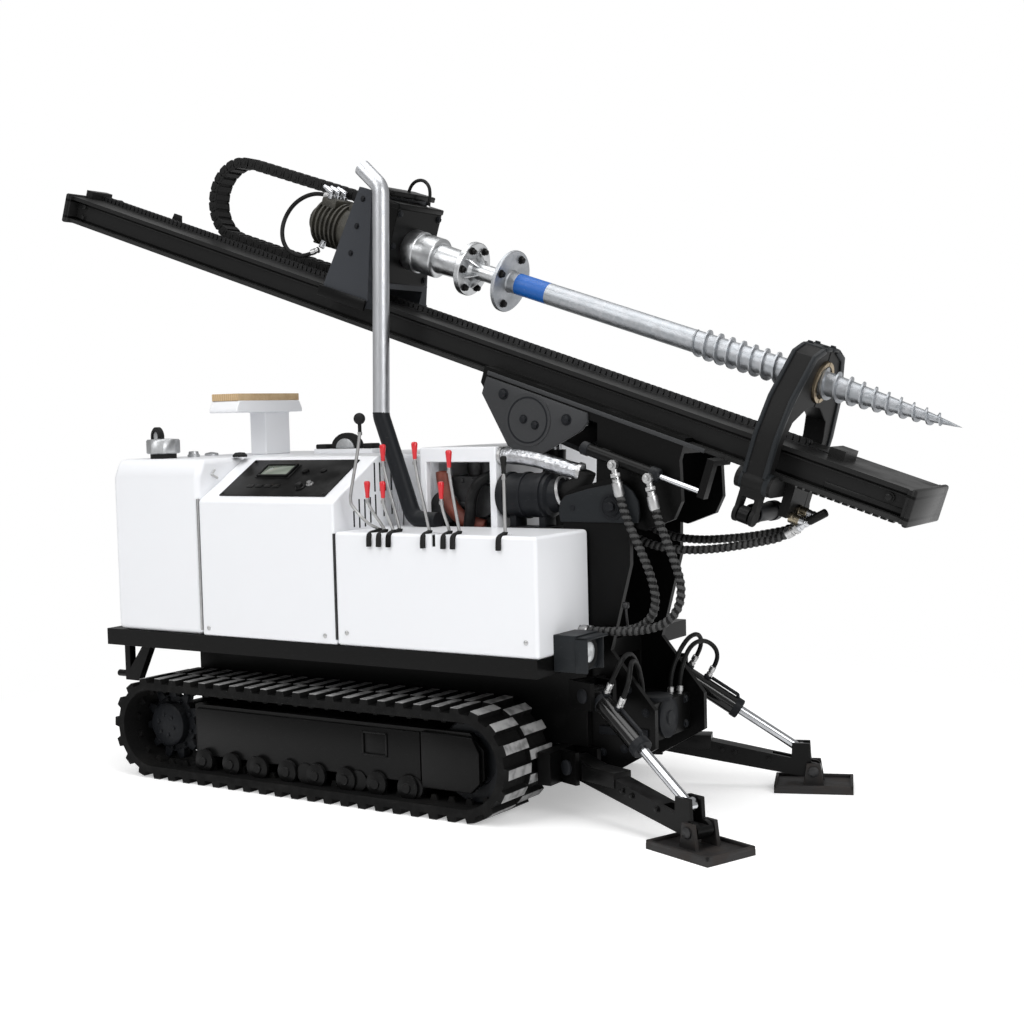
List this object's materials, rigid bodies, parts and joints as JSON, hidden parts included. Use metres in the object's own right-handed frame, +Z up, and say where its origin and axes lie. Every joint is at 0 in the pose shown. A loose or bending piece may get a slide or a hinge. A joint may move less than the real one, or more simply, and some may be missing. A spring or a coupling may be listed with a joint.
{
  "type": "pile driver rig",
  "caption": "Compact tracked pile driver rig with a tilting feed mast, a hydraulic rotary head holding a ground screw, split guide jaws and hinged stabiliser legs.",
  "frame": {"origin": "on the ground under the middle of the overall box", "axes": "+X points to the foot of the mast and the stabiliser legs, +Y to the side away from the control levers, +Z up"},
  "size_m": [4.0855, 1.3212, 2.6334],
  "materials": {
    "black_paint": "satin",
    "white_paint": "satin",
    "track_rubber": "matte",
    "wheel_steel": "satin",
    "panel_black": "satin",
    "engine_iron": "satin",
    "rod_steel": "satin",
    "red_grip": "satin",
    "bright_pipe": "satin",
    "board_wood": "matte",
    "cap_steel": "polished",
    "rod_chrome": "polished",
    "chain_steel": "satin",
    "cable_chain": "matte",
    "bronze": "satin",
    "motor_paint": "satin",
    "galvanised": "satin",
    "hose_rubber": "satin"
  },
  "bodies": {
    "chassis": {"main_frame": "black_paint", "track_near": "track_rubber", "track_far": "track_rubber", "track_frames": "black_paint", "track_wheels": "wheel_steel", "hub_carriers": "black_paint", "hydraulic_tank": "white_paint", "console_cabinet": "white_paint", "control_panel": "panel_black", "far_cabinet": "white_paint", "engine_hood": "white_paint", "engine_block": "engine_iron", "valve_cover": "white_paint", "control_levers": "rod_steel", "lever_grips": "red_grip", "air_cleaner": "black_paint", "exhaust_elbow": "black_paint", "exhaust_stack": "bright_pipe", "mast_rest": "white_paint", "rest_board": "board_wood", "filler_cap": "cap_steel", "lamp_boxes": "black_paint", "mast_post": "black_paint", "slide_hoses": "hose_rubber", "leg_hoses_near": "hose_rubber", "leg_hoses_far": "hose_rubber"},
    "cradle": {"cradle_frame": "black_paint", "slide_barrel": "black_paint", "clamp_hoses": "hose_rubber"},
    "mast": {"mast_beam": "black_paint", "slide_rod": "rod_chrome", "feed_chain": "chain_steel", "guide_bracket": "black_paint", "chain_lower": "cable_chain"},
    "jaw_near": {"guide_jaw_near": "black_paint", "guide_bush_near": "bronze"},
    "jaw_far": {"guide_jaw_far": "black_paint", "guide_bush_far": "bronze"},
    "clamp_barrel": {"clamp_barrel": "black_paint"},
    "clamp_rod": {"clamp_rod": "rod_chrome"},
    "head": {"head_carriage": "black_paint", "head_gearbox": "engine_iron", "head_motor": "motor_paint", "chain_arm": "black_paint", "head_hoses": "hose_rubber"},
    "chain_bend": {"chain_bend": "cable_chain"},
    "chain_end": {"chain_upper": "cable_chain"},
    "spindle": {"drive_adaptor": "bright_pipe", "ground_screw": "galvanised"},
    "lift_barrel": {"lift_barrel": "black_paint"},
    "lift_rod": {"lift_rod": "rod_chrome"},
    "leg_near": {"leg_near": "black_paint"},
    "pad_near": {"pad_near": "black_paint"},
    "leg_barrel_near": {"leg_barrel_near": "black_paint"},
    "leg_rod_near": {"leg_rod_near": "rod_chrome"},
    "leg_far": {"leg_far": "black_paint"},
    "pad_far": {"pad_far": "black_paint"},
    "leg_barrel_far": {"leg_barrel_far": "black_paint"},
    "leg_rod_far": {"leg_rod_far": "rod_chrome"}
  },
  "joints": [
    {"name": "mast_tilt", "type": "hinge", "parent": "chassis", "child": "cradle", "pos_m": [0.822, 0, 1.137], "axis": [0, 1, 0], "range_deg": [0, 71], "deforming": ["slide_hoses"]},
    {"name": "mast_slide", "type": "slide", "parent": "cradle", "child": "mast", "axis": [0.9469, 0, -0.3214], "range_m": [-0.08, 0.09], "deforming": ["clamp_hoses"]},
    {"name": "jaw_near_open", "type": "hinge", "parent": "mast", "child": "jaw_near", "pos_m": [1.3973, -0.215, 1.2288], "axis": [0.9469, 0, -0.3214], "range_deg": [0, 35]},
    {"name": "jaw_far_open", "type": "hinge", "parent": "mast", "child": "jaw_far", "pos_m": [1.3973, 0.215, 1.2288], "axis": [0.9469, 0, -0.3214], "range_deg": [-35, 0]},
    {"name": "clamp_barrel_swing", "type": "hinge", "parent": "jaw_near", "child": "clamp_barrel", "pos_m": [1.3584, -0.225, 1.11422], "axis": [0.9469, 0, -0.3214], "range_deg": [-35, 0]},
    {"name": "clamp_rod_swing", "type": "hinge", "parent": "jaw_far", "child": "clamp_rod", "pos_m": [1.3584, 0.225, 1.11422], "axis": [0.9469, 0, -0.3214], "range_deg": [0, 35]},
    {"name": "head_feed", "type": "slide", "parent": "mast", "child": "head", "axis": [0.9469, 0, -0.3214], "range_m": [-0.9, 1.2]},
    {"name": "chain_travel", "type": "slide", "parent": "mast", "child": "chain_bend", "axis": [0.9469, 0, -0.3214], "range_m": [-0.45, 0.6], "deforming": ["chain_lower"]},
    {"name": "chain_reach", "type": "slide", "parent": "chain_bend", "child": "chain_end", "axis": [0.9469, 0, -0.3214], "range_m": [-0.45, 0.6], "deforming": ["chain_upper"]},
    {"name": "screw_spin", "type": "hinge", "parent": "head", "child": "spindle", "pos_m": [0.03805, 0, 2.07777], "axis": [0.9469, 0, -0.3214], "continuous": true},
    {"name": "lift_swing", "type": "hinge", "parent": "chassis", "child": "lift_barrel", "pos_m": [0.436, 0, 0.7], "axis": [0, 1, 0], "range_deg": [0, 31.07]},
    {"name": "lift_extend", "type": "slide", "parent": "lift_barrel", "child": "lift_rod", "axis": [0.0409, 0, 0.9992], "range_m": [0, 0.3237]},
    {"name": "leg_near_lift", "type": "hinge", "parent": "chassis", "child": "leg_near", "pos_m": [0.71, -0.282, 0.19], "axis": [-0.3525, -0.9358, 0], "range_deg": [0, 45]},
    {"name": "pad_near_swing", "type": "hinge", "parent": "leg_near", "child": "pad_near", "pos_m": [1.30143, -0.50478, 0.075], "axis": [-0.3525, -0.9358, 0], "range_deg": [-10, 30]},
    {"name": "leg_barrel_near_swing", "type": "hinge", "parent": "chassis", "child": "leg_barrel_near", "pos_m": [0.80358, -0.31725, 0.465], "axis": [-0.3525, -0.9358, 0], "range_deg": [0, 48.65], "deforming": ["leg_hoses_near"]},
    {"name": "leg_rod_near_slide", "type": "slide", "parent": "leg_barrel_near", "child": "leg_rod_near", "axis": [0.7848, -0.2956, -0.5447], "range_m": [-0.2256, 0]},
    {"name": "leg_far_lift", "type": "hinge", "parent": "chassis", "child": "leg_far", "pos_m": [0.71, 0.282, 0.19], "axis": [0.3525, -0.9358, 0], "range_deg": [0, 45]},
    {"name": "pad_far_swing", "type": "hinge", "parent": "leg_far", "child": "pad_far", "pos_m": [1.30143, 0.50478, 0.075], "axis": [0.3525, -0.9358, 0], "range_deg": [-10, 30]},
    {"name": "leg_barrel_far_swing", "type": "hinge", "parent": "chassis", "child": "leg_barrel_far", "pos_m": [0.80358, 0.31725, 0.465], "axis": [0.3525, -0.9358, 0], "range_deg": [0, 48.65], "deforming": ["leg_hoses_far"]},
    {"name": "leg_rod_far_slide", "type": "slide", "parent": "leg_barrel_far", "child": "leg_rod_far", "axis": [0.7848, 0.2956, -0.5447], "range_m": [-0.2256, 0]}
  ],
  "couplings": [
    {"joint": "jaw_far_open", "follows": "jaw_near_open", "ratio": -1},
    {"joint": "clamp_barrel_swing", "follows": "jaw_near_open", "ratio": -1},
    {"joint": "clamp_rod_swing", "follows": "jaw_near_open", "ratio": 1},
    {"joint": "chain_travel", "follows": "head_feed", "ratio": 0.5},
    {"joint": "chain_reach", "follows": "head_feed", "ratio": 0.5},
    {"joint": "lift_swing", "follows": "mast_tilt", "ratio": 0.4305},
    {"joint": "lift_extend", "follows": "mast_tilt", "m_per_rad": 0.258},
    {"joint": "leg_barrel_near_swing", "follows": "leg_near_lift", "ratio": 1.0699},
    {"joint": "leg_rod_near_slide", "follows": "leg_near_lift", "m_per_rad": -0.2822},
    {"joint": "leg_barrel_far_swing", "follows": "leg_far_lift", "ratio": 1.0699},
    {"joint": "leg_rod_far_slide", "follows": "leg_far_lift", "m_per_rad": -0.2822}
  ]
}
